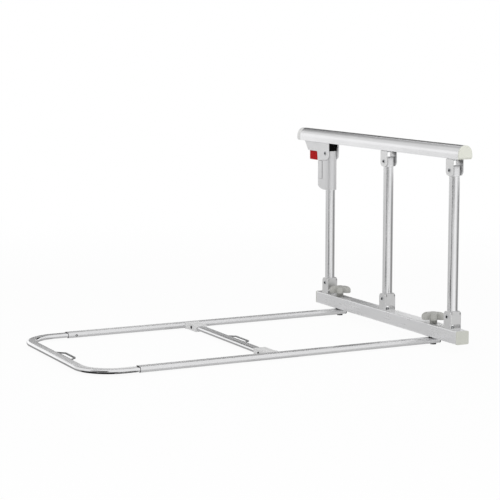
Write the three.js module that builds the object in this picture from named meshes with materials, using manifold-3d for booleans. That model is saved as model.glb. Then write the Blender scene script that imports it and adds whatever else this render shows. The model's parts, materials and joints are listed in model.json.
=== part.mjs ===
// A folding bed guard rail: a handrail on three posts that fold down towards one end, above a frame
// of flat-oval tubes that slides under the mattress. Millimetres, Z up, X away from the bed, Y along
// the rail towards the lock. Places are first given with the bottom rail centred on the Z axis and
// its underside at zero; the last lines move the whole to the middle of its footprint.

import * as THREE from "three";
import { mergeVertices } from "three/addons/utils/BufferGeometryUtils.js";
import Module from "manifold-3d";

// Shared sizes
const roundSteps = 24;
const smallRadius = 5;
const smallRoundSteps = 12;
const overrun = 3;
const seatGap = 0.3;
const runningGap = 0.06;
const openPivotGap = 0.35;
const plugGap = 0.15;

// Bottom rail and its end caps
const railEndReach = 40;
const railWidth = 30;
const railHeight = 28;
const railWall = 1.6;
const railCorner = 2.5;
const railCapFlange = 3;
const railCapDepth = 14;
const railCapWall = 1.8;

// Posts and the distance between their two pivots
const postRadius = 11;
const postWall = 1.2;
const pivotDistance = 305.5;
const eyeRadius = 10;
const eyeToTube = 12;
const plugDepth = 18;

// Pivot pins, hollow at both ends
const pinRadius = 3;
const pinHeadRadius = 4.8;
const pinHeadThickness = 1.1;
const pinHollowRadius = 1.7;
const pinHollowDepth = 2.4;

// Hinge brackets, bent from sheet, that carry the posts
const bracketWidth = 26;
const bracketSheet = 1.6;
const bracketBack = 14;
const bracketFront = 12.5;
const bracketHeight = 37;
const bracketPivotHeight = 25;
const bracketWindowHeight = 10;
const bracketWindowCorner = 4;
const bracketEarCorner = 8.5;
const bracketWebCorner = 5;
const bracketReliefWidth = 2.2;
const bracketReliefDepth = 6.5;

// Screws that hold the brackets and the clevises
const screwRadius = 2.5;
const screwHeadRadius = 4.4;
const screwHeadHeight = 3.2;
const screwLength = 11;
const clevisScrewHeadHeight = 2;
const clevisWasherRadius = 6.2;
const clevisWasherThickness = 0.8;

// Handrail, a D-shaped tube, and its end caps
const handrailNearEnd = 40;
const handrailWidth = 32;
const handrailHeight = 29;
const handrailSide = 10;
const handrailWall = 1.5;
const handrailPivotDrop = 24.5;
const handrailCapFlange = 5;
const handrailCapBand = 15;
const handrailCapDepth = 16;
const handrailCapChamfer = 4;

// Clevises under the handrail, bent from sheet
const clevisWidth = 26;
const clevisLength = 27;
const clevisSheet = 1.6;
const clevisPivotMargin = 11.5;
const clevisEarCorner = 10;

// Lock sleeve round the top of the far post
const sleeveRadius = 14;
const sleeveFarReach = 38;
const sleevePlanCorner = 4;
const sleeveBelowPivot = 85.5;
const sleeveAbovePivot = 5.5;
const sleeveTubeStop = 22.5;
const sleeveSweepHeight = 14;
const sleeveSweepLength = 33;
const strikeTopBelowPivot = 18.5;
const strikeHeight = 42;
const strikeSlot = 1.6;
const strikePocketDepth = 5;
const cheekGap = 0.8;

// Lock housing under the far end of the handrail
const housingWidth = 29;
const cheekThickness = 2.5;
const cheekRadius = 15.7;
const housingNearReach = 14.4;
const housingUndersideRise = 3;
const housingToeReach = 83;
const housingTopReach = 100;
const housingToCap = 20;
const housingWellLip = 3;
const housingWellWall = 3;
const skirtReach = 36.5;
const skirtLean = 1.5;
const skirtCorner = 4;
const skirtGap = 0.7;

// Red button, its tooth and its spring
const buttonWidth = 21;
const buttonNearReach = 43;
const buttonFarReach = 81.5;
const buttonNose = 8;
const buttonTopRise = 9.5;
const buttonFlange = 1.3;
const buttonTravel = 5;
const buttonEdge = 2;
const toothNearReach = 24;
const toothThickness = 8;
const toothWidth = 12;
const toothDepth = 3.2;
const toothArmHeight = 5;
const toothArmLift = 1;
const toothGap = 0.4;
const springRadius = 3.6;
const springWire = 0.8;
const springWireSides = 6;
const springTurns = 6;
const stepsPerTurn = 8;
const springBoreGap = 0.5;
const springBoreDepth = 16;

// Black bumper on the top of the far post
const bumperLength = 22;
const bumperWidth = 23.2;
const bumperNeckWidth = 19;
const bumperNeckHeight = 6;
const bumperRailGap = 0.8;

// Tubes of the frame that lies under the mattress
const frameSpacing = 400;
const frameShift = 11;
const tubeWidth = 25;
const tubeHeight = 12;
const tubeWall = 1.2;
const tubeRailReach = 10;
const tubeReach = 678;
const tubePlugFlange = 2;
const slideGap = 0.3;
const innerEntryLength = 180;
const innerReach = 788;
const innerBendRadius = 69;
const bendSteps = 9;
const setScrewInset = 18;
const setScrewRadius = 2.5;
const setScrewProud = 0.5;
const setScrewSocketRadius = 1.3;

// Clamp knobs, bolts, spacers and nuts between rail and frame
const spacerRadius = 10;
const spacerThickness = 2.5;
const boltRadius = 4;
const nutAcross = 13;
const nutHeight = 3;
const nutSides = 6;
const knobRadius = 27;
const knobTopRadius = 13;
const knobLobes = 6;
const stepsPerLobe = 6;
const knobLobeDepth = 6;
const knobHeadHeight = 14;
const knobRim = 4;
const knobEdge = 1.5;
const knobHubRadius = 8;
const knobHubHeight = 8.5;
const knobBoreDepth = 16;
const knobToBracket = 8;

// Cross bar of the frame and the connectors at its ends
const crossbarReach = 385;
const crossbarInset = 18;
const socketWall = 2.5;
const connectorReach = 58;
const connectorHalfLength = 17;
const connectorSweep = 14;
const connectorHug = 4;
const connectorSocketDepth = 28;
const connectorScrewRadius = 2;
const connectorScrewHeadRadius = 3.4;
const connectorScrewHeadHeight = 1.6;
const connectorScrewInset = 22;

// Loops for the straps
const loopThickness = 3;
const loopHeight = 3;
const loopProjection = 17.5;
const loopCorner = 4;
const crossbarLoopBase = 88;
const crossbarLoopBar = 66;
const crossbarLoopShift = 4;
const endLoopBase = 93;
const endLoopBar = 60;
const endLoopShift = -4;

// Places worked out from the sizes. The far clamp knob stands beside the far bracket, and the
// rails reach past the posts.
const tubePlaces = { near: frameShift - frameSpacing / 2, far: frameShift + frameSpacing / 2 };
const postSpacing = tubePlaces.far + knobRadius + knobToBracket + bracketBack;
const postPlaces = { near: -postSpacing, mid: 0, far: postSpacing };
const railHalfLength = postSpacing + railEndReach;
const handrailNearReach = postSpacing + handrailNearEnd;
const handrailFarReach = postSpacing + housingTopReach + housingToCap + handrailCapBand;
const lowerPivot = railHeight + bracketPivotHeight;
const upperPivot = lowerPivot + pivotDistance;
const handrailUnderside = upperPivot + handrailPivotDrop;
const tubeTop = -spacerThickness;
const tubeMiddle = tubeTop - tubeHeight / 2;
const floorHeight = tubeTop - tubeHeight - nutHeight;
const innerWidth = tubeWidth - 2 * tubeWall - 2 * slideGap;
const innerHeight = tubeHeight - 2 * tubeWall - 2 * slideGap;
const innerMiddle = innerReach - innerWidth / 2;
const postBottom = lowerPivot + eyeToTube;
const postTop = upperPivot - eyeToTube;
const boltHoleRadius = boltRadius + seatGap;
const screwHoleRadius = screwRadius + plugGap;
const springPlace = postPlaces.far + (buttonNearReach + buttonNose + buttonFarReach) / 2;
const wellFloor = upperPivot + housingUndersideRise + housingWellLip;
const wellRoof = upperPivot + buttonTopRise + buttonTravel + seatGap;

// Finishes
const finish = (color, roughness, metalness) =>
  new THREE.MeshStandardMaterial({ color, roughness, metalness });
const anodised = finish(0xc6c8ca, 0.38, 0.9);
const brightAluminium = finish(0xd9dadb, 0.25, 1);
const sheetSteel = finish(0xcfd0d1, 0.35, 0.85);
const palePlastic = finish(0xd9dad6, 0.5, 0);
const knobPlastic = finish(0xb4b4b0, 0.5, 0);
const sleevePlastic = finish(0xcbcccb, 0.48, 0.1);
const capPlastic = finish(0xc9cdc4, 0.55, 0);
const redPlastic = finish(0xa5101a, 0.4, 0);
const blackPlastic = finish(0x161616, 0.55, 0);
const darkSteel = finish(0x3a3b3d, 0.4, 0.8);
const screwSteel = finish(0xb4b5b7, 0.3, 0.9);

const library = await Module();
library.setup();

// Outlines: lists of points, made of corners and arcs
const corner = (across, up) => [new THREE.Vector2(across, up)];

const stepsRound = (radius) => (radius < smallRadius ? smallRoundSteps : roundSteps);

function arc(centreAcross, centreUp, radiusAcross, radiusUp, start, end) {
  const turn = Math.abs(end - start) / (2 * Math.PI);
  const steps = Math.max(2, Math.round(turn * stepsRound(Math.abs(radiusAcross))));
  const points = [];
  for (let step = 0; step <= steps; step += 1) {
    const angle = start + ((end - start) * step) / steps;
    const across = centreAcross + radiusAcross * Math.cos(angle);
    points.push(new THREE.Vector2(across, centreUp + radiusUp * Math.sin(angle)));
  }
  return points;
}

function round(radius, across = 0, up = 0) {
  return arc(across, up, radius, radius, 0, 2 * Math.PI).slice(1);
}

// The flats of this round outline, not its corners, lie at the radius
function boreRound(radius, across = 0, up = 0) {
  return round(radius / Math.cos(Math.PI / stepsRound(radius)), across, up);
}

function roundedBox(left, right, bottom, top, radius) {
  const quarter = Math.PI / 2;
  return [
    ...arc(left + radius, bottom + radius, radius, radius, 2 * quarter, 3 * quarter),
    ...arc(right - radius, bottom + radius, radius, radius, 3 * quarter, 4 * quarter),
    ...arc(right - radius, top - radius, radius, radius, 0, quarter),
    ...arc(left + radius, top - radius, radius, radius, quarter, 2 * quarter),
  ];
}

function box(left, right, bottom, top) {
  return [...corner(left, bottom), ...corner(right, bottom), ...corner(right, top), ...corner(left, top)];
}

function flatOval(width, height, across, up) {
  return roundedBox(across - width / 2, across + width / 2, up - height / 2, up + height / 2, height / 2);
}

function dShape(inset) {
  const half = handrailWidth / 2 - inset;
  const top = handrailHeight - handrailSide - inset;
  const side = arc(0, handrailUnderside + handrailSide, half, top, 0, Math.PI);
  const bottom = handrailUnderside + inset;
  return [...corner(-half, bottom), ...corner(half, bottom), ...side];
}

// Solids: an outline pushed along an axis, or turned round one
const axisX = new THREE.Vector3(1, 0, 0);
const axisY = new THREE.Vector3(0, 1, 0);
const axisZ = new THREE.Vector3(0, 0, 1);
const directions = {
  x: new THREE.Matrix4().makeBasis(axisY, axisZ, axisX),
  y: new THREE.Matrix4().makeBasis(axisX.clone().negate(), axisZ, axisY),
  z: new THREE.Matrix4(),
};

function toSolid(geometry) {
  const bare = new THREE.BufferGeometry();
  bare.setAttribute("position", geometry.getAttribute("position"));
  bare.setIndex(geometry.getIndex());
  const merged = mergeVertices(bare);
  const vertProperties = new Float32Array(merged.getAttribute("position").array);
  const triVerts = new Uint32Array(merged.getIndex().array);
  return new library.Manifold(new library.Mesh({ numProp: 3, vertProperties, triVerts }));
}

function toGeometry(solid) {
  const mesh = solid.getMesh();
  const geometry = new THREE.BufferGeometry();
  geometry.setAttribute("position", new THREE.BufferAttribute(mesh.vertProperties, 3));
  geometry.setIndex(new THREE.BufferAttribute(mesh.triVerts, 1));
  geometry.computeVertexNormals();
  return geometry;
}

function prism(axis, points, from, to) {
  const shape = new THREE.Shape(points);
  const geometry = new THREE.ExtrudeGeometry(shape, { depth: to - from, bevelEnabled: false });
  geometry.translate(0, 0, from);
  geometry.applyMatrix4(directions[axis]);
  return toSolid(geometry);
}

// A profile of (radius, height) points turned round the Z axis through a place
function turned(profile, across, along) {
  const points = profile.map(([radius, height]) => new THREE.Vector2(radius, height));
  const widest = Math.max(...profile.map(([radius]) => radius));
  const geometry = new THREE.LatheGeometry(points, stepsRound(widest));
  geometry.rotateX(Math.PI / 2);
  geometry.translate(across, along, 0);
  return toSolid(geometry);
}

const group = new THREE.Group();

function addPiece(name, solid, material) {
  const mesh = new THREE.Mesh(toGeometry(solid), material);
  mesh.name = name;
  group.add(mesh);
}

const union = (solids) => solids.reduce((whole, next) => whole.add(next));
const less = (solid, cuts) => cuts.reduce((whole, cut) => whole.subtract(cut), solid);
const span = (from, to) => [Math.min(from, to), Math.max(from, to)];

// A hollow pin along X whose two heads lie on faces this far apart
function pivotPin(between, along, height) {
  const face = between / 2;
  const end = face + pinHeadThickness;
  const floor = end - pinHollowDepth;
  const profile = [
    [0, -floor],
    [pinHollowRadius, -floor],
    [pinHollowRadius, -end],
    [pinHeadRadius, -end],
    [pinHeadRadius, -face],
    [pinRadius, -face],
    [pinRadius, face],
    [pinHeadRadius, face],
    [pinHeadRadius, end],
    [pinHollowRadius, end],
    [pinHollowRadius, floor],
    [0, floor],
  ];
  const points = profile.map(([radius, across]) => new THREE.Vector2(radius, across));
  const geometry = new THREE.LatheGeometry(points, stepsRound(pinHeadRadius));
  geometry.rotateZ(-Math.PI / 2);
  geometry.rotateX(Math.PI / 2);
  geometry.translate(0, along, height);
  return toSolid(geometry);
}

// Bottom rail with holes for the clamp bolts and the bracket screws
function bottomRail() {
  const half = railWidth / 2;
  const end = railHalfLength - railCapFlange;
  const innerHalf = half - railWall;
  const innerCorner = railCorner - railWall;
  const inner = roundedBox(-innerHalf, innerHalf, railWall, railHeight - railWall, innerCorner);
  const outer = prism("y", roundedBox(-half, half, 0, railHeight, railCorner), -end, end);
  const hollow = prism("y", inner, -end - overrun, end + overrun);
  const boltHoles = Object.values(tubePlaces).map((along) =>
    prism("z", boreRound(boltHoleRadius, 0, along), -overrun, railHeight + overrun));
  const ceiling = railHeight - railWall;
  const screwHoles = Object.values(postPlaces).map((along) =>
    prism("z", boreRound(screwHoleRadius, 0, along), ceiling - overrun, railHeight + overrun));
  return less(outer, [hollow, ...boltHoles, ...screwHoles]);
}

// Cap with a flange over the end of the rail and a hollow plug inside it; side is -1 near, 1 far
function railCap(side) {
  const half = railWidth / 2;
  const end = side * railHalfLength;
  const seat = end - side * railCapFlange;
  const plugEnd = seat - side * railCapDepth;
  const plugInset = railWall + plugGap;
  const hollowInset = plugInset + railCapWall;
  const outline = (inset) =>
    roundedBox(-half + inset, half - inset, inset, railHeight - inset, railCorner / 2);
  const flange = prism("y", roundedBox(-half, half, 0, railHeight, railCorner), ...span(seat, end));
  const plug = prism("y", outline(plugInset), ...span(plugEnd, seat));
  const hollow = prism("y", outline(hollowInset), ...span(plugEnd - side * overrun, seat));
  return flange.add(plug).subtract(hollow);
}

// What a round corner leaves over at the top end of an edge; side is 1 where the piece lies at the
// right of the edge, -1 where it lies at the left
function outsideCorner(edge, top, radius, side) {
  const start = side > 0 ? Math.PI : 0;
  return [
    ...corner(edge - side * overrun, top - radius),
    ...arc(edge + side * radius, top - radius, radius, radius, start, Math.PI / 2),
    ...corner(edge + side * radius, top + overrun),
    ...corner(edge - side * overrun, top + overrun),
  ];
}

// Bracket bent from sheet: a base on the rail, a web on the near side and two ears with pin holes
function hingeBracket(along) {
  const half = bracketWidth / 2;
  const inner = half - bracketSheet;
  const top = railHeight + bracketHeight;
  const back = along - bracketBack;
  const front = along + bracketFront;
  const plan = prism("z", box(-half, half, back, front), railHeight, top);
  const cornerCentre = [front - bracketEarCorner, top - bracketEarCorner];
  const side = [
    ...corner(back, railHeight),
    ...corner(front, railHeight),
    ...arc(...cornerCentre, bracketEarCorner, bracketEarCorner, 0, Math.PI / 2),
    ...corner(back, top),
  ];
  const between = box(-inner, inner, back + bracketSheet, front + overrun);
  const base = railHeight + bracketSheet;
  const web = [back - overrun, back + bracketSheet + overrun];
  const windowSide = inner - bracketWindowCorner;
  const windowTop = railHeight + bracketWindowHeight - bracketWindowCorner;
  const window = [
    ...corner(-inner, base),
    ...corner(inner, base),
    ...arc(windowSide, windowTop, bracketWindowCorner, bracketWindowCorner, 0, Math.PI / 2),
    ...arc(-windowSide, windowTop, bracketWindowCorner, bracketWindowCorner, Math.PI / 2, Math.PI),
  ];
  const foldSide = outsideCorner(back, top, bracketWebCorner, 1);
  const relief = (left) => {
    const plan = box(left, left + bracketReliefWidth, back - overrun, back + bracketSheet);
    return prism("z", plan, top - bracketReliefDepth, top + overrun);
  };
  const cuts = [
    prism("z", between, base, top + overrun),
    prism("y", window, ...web),
    prism("y", outsideCorner(-half, top, bracketWebCorner, 1), ...web),
    prism("y", outsideCorner(half, top, bracketWebCorner, -1), ...web),
    prism("x", foldSide, -half - overrun, -inner),
    prism("x", foldSide, inner, half + overrun),
    relief(-inner),
    relief(inner - bracketReliefWidth),
    prism("x", boreRound(pinRadius + runningGap, along, lowerPivot), -half - overrun, half + overrun),
    prism("z", boreRound(screwHoleRadius, 0, along), railHeight - overrun, base + overrun),
  ];
  return less(plan.intersect(prism("x", side, -half, half)), cuts);
}

// Domed screw through the base of a bracket into the rail
function bracketScrew(along) {
  const seat = railHeight + bracketSheet;
  return turned([
    [0, seat - screwLength],
    [screwRadius, seat - screwLength],
    [screwRadius, seat],
    [screwHeadRadius, seat],
    [screwHeadRadius, seat + screwHeadHeight / 2],
    [screwHeadRadius / 2, seat + screwHeadHeight],
    [0, seat + screwHeadHeight],
  ], 0, along);
}

function postTube(along, bottom, top) {
  const outer = prism("z", round(postRadius, 0, along), bottom, top);
  const inner = round(postRadius - postWall, 0, along);
  return outer.subtract(prism("z", inner, bottom - overrun, top + overrun));
}

// Rounded eye on a pin, with a neck that fills the end of the post; side is -1 below, 1 above
function postPlug(along, pivot, side, gap) {
  const tubeEnd = pivot - side * eyeToTube;
  const neckEnd = tubeEnd - side * plugDepth;
  const outside = postRadius + overrun;
  const eye = [
    ...arc(along, pivot, eyeRadius, eyeRadius, 0, side * Math.PI),
    ...corner(along - postRadius, tubeEnd),
    ...corner(along + postRadius, tubeEnd),
  ];
  const outline = side > 0 ? eye : eye.reverse();
  const body = prism("z", round(postRadius, 0, along), ...span(tubeEnd, pivot + side * eyeRadius));
  const eyeBody = body.intersect(prism("x", outline, -postRadius, postRadius));
  const neck = prism("z", round(postRadius - postWall - plugGap, 0, along), ...span(tubeEnd, neckEnd));
  const pinHole = prism("x", boreRound(pinRadius + gap, along, pivot), -outside, outside);
  return eyeBody.add(neck).subtract(pinHole);
}

// Handrail with a hole in its flat underside for each clevis screw
function handrail() {
  const from = -handrailNearReach + handrailCapFlange;
  const to = handrailFarReach - handrailCapBand;
  const outer = prism("y", dShape(0), from, to);
  const hollow = prism("y", dShape(handrailWall), from - overrun, to + overrun);
  const floor = handrailUnderside + handrailWall;
  const screwHoles = [postPlaces.near, postPlaces.mid].map((along) =>
    prism("z", boreRound(screwHoleRadius, 0, along), handrailUnderside - overrun, floor + overrun));
  return less(outer, [hollow, ...screwHoles]);
}

// Handrail cap: a band with the handrail's outline, and a hollow plug inside it; side is -1 near, 1 far
function handrailCap(side) {
  const end = side < 0 ? -handrailNearReach : handrailFarReach;
  const seat = end - side * (side < 0 ? handrailCapFlange : handrailCapBand);
  const plugEnd = seat - side * handrailCapDepth;
  const inset = handrailWall + plugGap;
  const half = handrailWidth / 2 + overrun;
  const inward = side * handrailCapChamfer;
  const chamfer = [
    ...corner(end + side * overrun, handrailUnderside - overrun),
    ...corner(end + side * overrun, handrailUnderside + handrailCapChamfer + overrun),
    ...corner(end - inward - side * overrun, handrailUnderside - overrun),
  ];
  const band = prism("y", dShape(0), ...span(seat, end));
  const plug = prism("y", dShape(inset), ...span(plugEnd, seat));
  const hollow = prism("y", dShape(inset + railCapWall), ...span(plugEnd - side * overrun, seat));
  const cut = prism("x", side > 0 ? chamfer : chamfer.reverse(), -half, half);
  return less(band.add(plug), [hollow, cut]);
}

// Clevis bent from sheet: a base under the handrail and two ears with rounded ends
function topClevis(along) {
  const half = clevisWidth / 2;
  const inner = half - clevisSheet;
  const near = along - clevisLength / 2;
  const far = along + clevisLength / 2;
  const bottom = upperPivot - clevisPivotMargin;
  const quarter = Math.PI / 2;
  const radius = clevisEarCorner;
  const side = [
    ...arc(near + radius, bottom + radius, radius, radius, 2 * quarter, 3 * quarter),
    ...arc(far - radius, bottom + radius, radius, radius, 3 * quarter, 4 * quarter),
    ...corner(far, handrailUnderside),
    ...corner(near, handrailUnderside),
  ];
  const base = handrailUnderside - clevisSheet;
  const between = box(-inner, inner, near - overrun, far + overrun);
  const cuts = [
    prism("z", between, bottom - overrun, base),
    prism("x", boreRound(pinRadius + runningGap, along, upperPivot), -half - overrun, half + overrun),
    prism("z", boreRound(screwHoleRadius, 0, along), base - overrun, handrailUnderside + overrun),
  ];
  return less(prism("x", side, -half, half), cuts);
}

// Flat-headed screw and washer that hold a clevis to the handrail from below
function clevisScrew(along) {
  const seat = handrailUnderside - clevisSheet;
  const washer = seat - clevisWasherThickness;
  const head = washer - clevisScrewHeadHeight;
  return turned([
    [0, head],
    [screwHeadRadius, head],
    [screwHeadRadius, washer],
    [clevisWasherRadius, washer],
    [clevisWasherRadius, seat],
    [screwRadius, seat],
    [screwRadius, head + screwLength + clevisScrewHeadHeight],
    [0, head + screwLength + clevisScrewHeadHeight],
  ], 0, along);
}

// Outline from above of the sleeve and the strike block: round at the post, square at the far side
function sleevePlan(near) {
  const along = postPlaces.far;
  const far = along + sleeveFarReach;
  const half = sleeveRadius;
  const radius = sleevePlanCorner;
  const roundStart = arc(0, along, half, half, Math.PI, 2 * Math.PI);
  const squareStart = [...corner(-half, near), ...corner(half, near)];
  return [
    ...(near > along ? squareStart : roundStart),
    ...arc(half - radius, far - radius, radius, radius, 0, Math.PI / 2),
    ...arc(radius - half, far - radius, radius, radius, Math.PI / 2, Math.PI),
  ];
}

// Sleeve that grips the post's top end, swept up at its lower far corner, notched for the strike
// block, and with flats for the cheeks of the housing
function lockSleeve() {
  const along = postPlaces.far;
  const bottom = upperPivot - sleeveBelowPivot;
  const top = upperPivot + sleeveAbovePivot;
  const far = along + sleeveFarReach;
  const notch = upperPivot - strikeTopBelowPivot - strikeHeight;
  const sweepStart = far - sleeveSweepLength;
  const side = [
    ...corner(along - sleeveRadius, bottom),
    ...arc(sweepStart, bottom + sleeveSweepHeight, sleeveSweepLength, sleeveSweepHeight, -Math.PI / 2, 0),
    ...corner(far, notch),
    ...corner(along + sleeveRadius, notch),
    ...corner(along + sleeveRadius, top),
    ...corner(along - sleeveRadius, top),
  ];
  const plan = prism("z", sleevePlan(along), bottom, top);
  const outside = sleeveRadius + overrun;
  const flat = housingWidth / 2 - cheekThickness - seatGap;
  const cheekRound = round(cheekRadius + cheekGap, along, upperPivot);
  const besideSkirt = box(along, along + outside, upperPivot - cheekRadius - cheekGap, top + overrun);
  const tubeStop = upperPivot - sleeveTubeStop;
  const cuts = [
    prism("z", boreRound(postRadius + plugGap, 0, along), bottom - overrun, tubeStop),
    prism("x", boreRound(pinRadius + plugGap, along, upperPivot), -outside, outside),
    prism("x", cheekRound, flat, outside),
    prism("x", cheekRound, -outside, -flat),
    prism("x", besideSkirt, flat, outside),
    prism("x", besideSkirt, -outside, -flat),
  ];
  return less(plan.intersect(prism("x", side, -outside, outside)), cuts);
}

// Strike block in the sleeve's notch, with the pocket that the button's tooth drops into
function strikeBlock() {
  const along = postPlaces.far;
  const near = along + sleeveRadius + strikeSlot;
  const top = upperPivot - strikeTopBelowPivot;
  const bottom = top - strikeHeight + seatGap;
  const pocketNear = along + toothNearReach - toothGap;
  const pocketFar = along + toothNearReach + toothThickness + toothGap;
  const pocketHalf = toothWidth / 2 + toothGap;
  const pocketPlan = box(-pocketHalf, pocketHalf, pocketNear, pocketFar);
  const pocket = prism("z", pocketPlan, top - strikePocketDepth, top + overrun);
  return prism("z", sleevePlan(near), bottom, top).subtract(pocket);
}

// Bumper on the sleeve, rounded about the pivot so that it clears the handrail as the post folds
function postTopBumper() {
  const along = postPlaces.far;
  const bottom = upperPivot + sleeveAbovePivot;
  const neckTop = bottom + bumperNeckHeight;
  const reach = handrailPivotDrop - bumperRailGap;
  const half = bumperLength / 2;
  const plan = (width) => box(-width / 2, width / 2, along - half, along + half);
  const swing = prism("x", round(reach, along, upperPivot), -bumperWidth, bumperWidth);
  const neck = prism("z", plan(bumperNeckWidth), bottom, neckTop);
  const head = prism("z", plan(bumperWidth), neckTop, handrailUnderside);
  return neck.add(head).intersect(swing);
}

// Lock housing: two cheeks round the pivot with skirts that reach to the button, open between them,
// and a block with the button's well
function lockHousing() {
  const along = postPlaces.far;
  const half = housingWidth / 2;
  const inner = half - cheekThickness;
  const underside = upperPivot + housingUndersideRise;
  const nearAngle = Math.PI + Math.acos(housingNearReach / cheekRadius);
  const skirtBottom = upperPivot - strikeTopBelowPivot + skirtGap;
  const skirtNear = along + sleeveRadius + strikeSlot;
  const skirtFar = along + skirtReach + skirtLean;
  const skirtTop = underside - skirtCorner;
  const side = [
    ...corner(along - housingNearReach, handrailUnderside),
    ...arc(along, upperPivot, cheekRadius, cheekRadius, nearAngle, 1.5 * Math.PI),
    ...corner(skirtNear, upperPivot - cheekRadius),
    ...corner(skirtNear, skirtBottom),
    ...corner(along + skirtReach, skirtBottom),
    ...arc(skirtFar + skirtCorner, skirtTop, skirtCorner, skirtCorner, Math.PI, Math.PI / 2),
    ...corner(along + housingToeReach, underside),
    ...corner(along + housingTopReach, handrailUnderside),
  ];
  const mouthNear = along + buttonNearReach - toothGap;
  const wellFar = along + buttonFarReach + toothGap;
  const mouthHalf = buttonWidth / 2 + toothGap;
  const wellHalf = mouthHalf + buttonFlange;
  const pocketNear = along - housingNearReach - overrun;
  const pocketBottom = skirtBottom - overrun;
  const pocketFar = mouthNear - housingWellWall;
  const pocket = box(pocketNear, pocketFar, pocketBottom, handrailUnderside + overrun);
  const betweenSkirts = box(pocketNear, mouthNear, pocketBottom, underside);
  const cuts = [
    prism("x", pocket, -inner, inner),
    prism("x", betweenSkirts, -inner, inner),
    prism("z", box(-mouthHalf, mouthHalf, mouthNear, wellFar), underside - overrun, wellRoof),
    prism("z", box(-wellHalf, wellHalf, mouthNear + buttonNose, wellFar), wellFloor, wellRoof),
    prism("x", boreRound(pinRadius + runningGap, along, upperPivot), -half - overrun, half + overrun),
  ];
  return less(prism("x", side, -half, half), cuts);
}

// Red button, pulled up by a finger: body with a rounded nose, flanges that keep it in the well,
// a bore for the spring and an arm whose tooth drops into the strike block
function redButton() {
  const along = postPlaces.far;
  const half = buttonWidth / 2;
  const bottom = upperPivot - strikeTopBelowPivot;
  const shoulder = upperPivot + housingUndersideRise;
  const top = upperPivot + buttonTopRise;
  const near = along + buttonNearReach;
  const far = along + buttonFarReach;
  const edge = buttonEdge;
  const side = [
    ...arc(near + edge, bottom + edge, edge, edge, Math.PI, 1.5 * Math.PI),
    ...arc(far - edge, bottom + edge, edge, edge, 1.5 * Math.PI, 2 * Math.PI),
    ...corner(far, top),
    ...corner(near + buttonNose, top),
    ...arc(near + buttonNose, shoulder - buttonNose, buttonNose, buttonNose, Math.PI / 2, Math.PI),
  ];
  const body = prism("x", side, -half, half);
  const flangeHalf = half + buttonFlange;
  const flangePlan = box(-flangeHalf, flangeHalf, near + buttonNose, far);
  const flange = prism("z", flangePlan, wellFloor + seatGap, top);
  const armBottom = bottom + toothArmLift;
  const toothNear = along + toothNearReach;
  const armPlan = box(-toothWidth / 2, toothWidth / 2, toothNear, near + edge);
  const arm = prism("z", armPlan, armBottom, armBottom + toothArmHeight);
  const toothPlan = box(-toothWidth / 2, toothWidth / 2, toothNear, toothNear + toothThickness);
  const tooth = prism("z", toothPlan, bottom - toothDepth, armBottom);
  const bore = round(springRadius + springBoreGap, 0, springPlace);
  return less(union([body, flange, arm, tooth]), [prism("z", bore, top - springBoreDepth, top + overrun)]);
}

// Spring between the floor of the button's bore and the roof of the well
function buttonSpring() {
  const bottom = upperPivot + buttonTopRise - springBoreDepth + seatGap + springWire / 2;
  const top = wellRoof - seatGap - springWire / 2;
  const coilRadius = springRadius - springWire / 2;
  class Helix extends THREE.Curve {
    getPoint(share, target = new THREE.Vector3()) {
      const angle = share * springTurns * 2 * Math.PI;
      const across = coilRadius * Math.cos(angle);
      const along = springPlace + coilRadius * Math.sin(angle);
      return target.set(across, along, bottom + (top - bottom) * share);
    }
  }
  const wire = new THREE.Shape();
  wire.absarc(0, 0, springWire / 2, 0, 2 * Math.PI);
  return toSolid(new THREE.ExtrudeGeometry(wire, {
    steps: springTurns * stepsPerTurn,
    curveSegments: springWireSides / 2,
    extrudePath: new Helix(),
    bevelEnabled: false,
  }));
}

// Outer tube of the frame, with a bolt hole under the rail and a set screw's hole near its mouth;
// side is -1 for the near tube, 1 for the far one, and the set screw faces the other tube
function sideTube(along, side) {
  const outer = prism("x", flatOval(tubeWidth, tubeHeight, along, tubeMiddle), -tubeReach, tubeRailReach);
  const inner = flatOval(tubeWidth - 2 * tubeWall, tubeHeight - 2 * tubeWall, along, tubeMiddle);
  const hollow = prism("x", inner, -tubeReach - overrun, tubeRailReach + overrun);
  const floor = tubeTop - tubeHeight;
  const boltHole = prism("z", boreRound(boltHoleRadius, 0, along), floor - overrun, tubeTop + overrun);
  const face = along - (side * tubeWidth) / 2;
  const holeEnds = span(face - side * overrun, face + side * (tubeWall + overrun));
  const holeOutline = boreRound(setScrewRadius + plugGap, tubeReach - setScrewInset, tubeMiddle);
  return less(outer, [hollow, boltHole, prism("y", holeOutline, ...holeEnds)]);
}

// Plug that closes the rail end of a tube
function sideTubePlug(along) {
  const inset = 2 * (tubeWall + plugGap);
  const flange = prism("x", flatOval(tubeWidth, tubeHeight, along, tubeMiddle),
    tubeRailReach, tubeRailReach + tubePlugFlange);
  const plugEnd = boltHoleRadius + tubePlugFlange;
  const plugOutline = flatOval(tubeWidth - inset, tubeHeight - inset, along, tubeMiddle);
  return flange.add(prism("x", plugOutline, plugEnd, tubeRailReach));
}

// Set screw with a round socket in its outer end
function setScrew(along, side) {
  const face = along - (side * tubeWidth) / 2;
  const outside = face - side * setScrewProud;
  const inside = face + side * (tubeWall + slideGap - runningGap * 2);
  const socket = outside + side * tubeWall;
  const place = tubeReach - setScrewInset;
  const body = prism("y", round(setScrewRadius, place, tubeMiddle), ...span(outside, inside));
  const socketEnds = span(outside - side * overrun, socket);
  return body.subtract(prism("y", round(setScrewSocketRadius, place, tubeMiddle), ...socketEnds));
}

// Clamp between rail and tube: spacer, nut, bolt and knob
function clampSpacer(along) {
  const ring = prism("z", round(spacerRadius, 0, along), tubeTop, 0);
  return ring.subtract(prism("z", boreRound(boltHoleRadius, 0, along), tubeTop - overrun, overrun));
}

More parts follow.
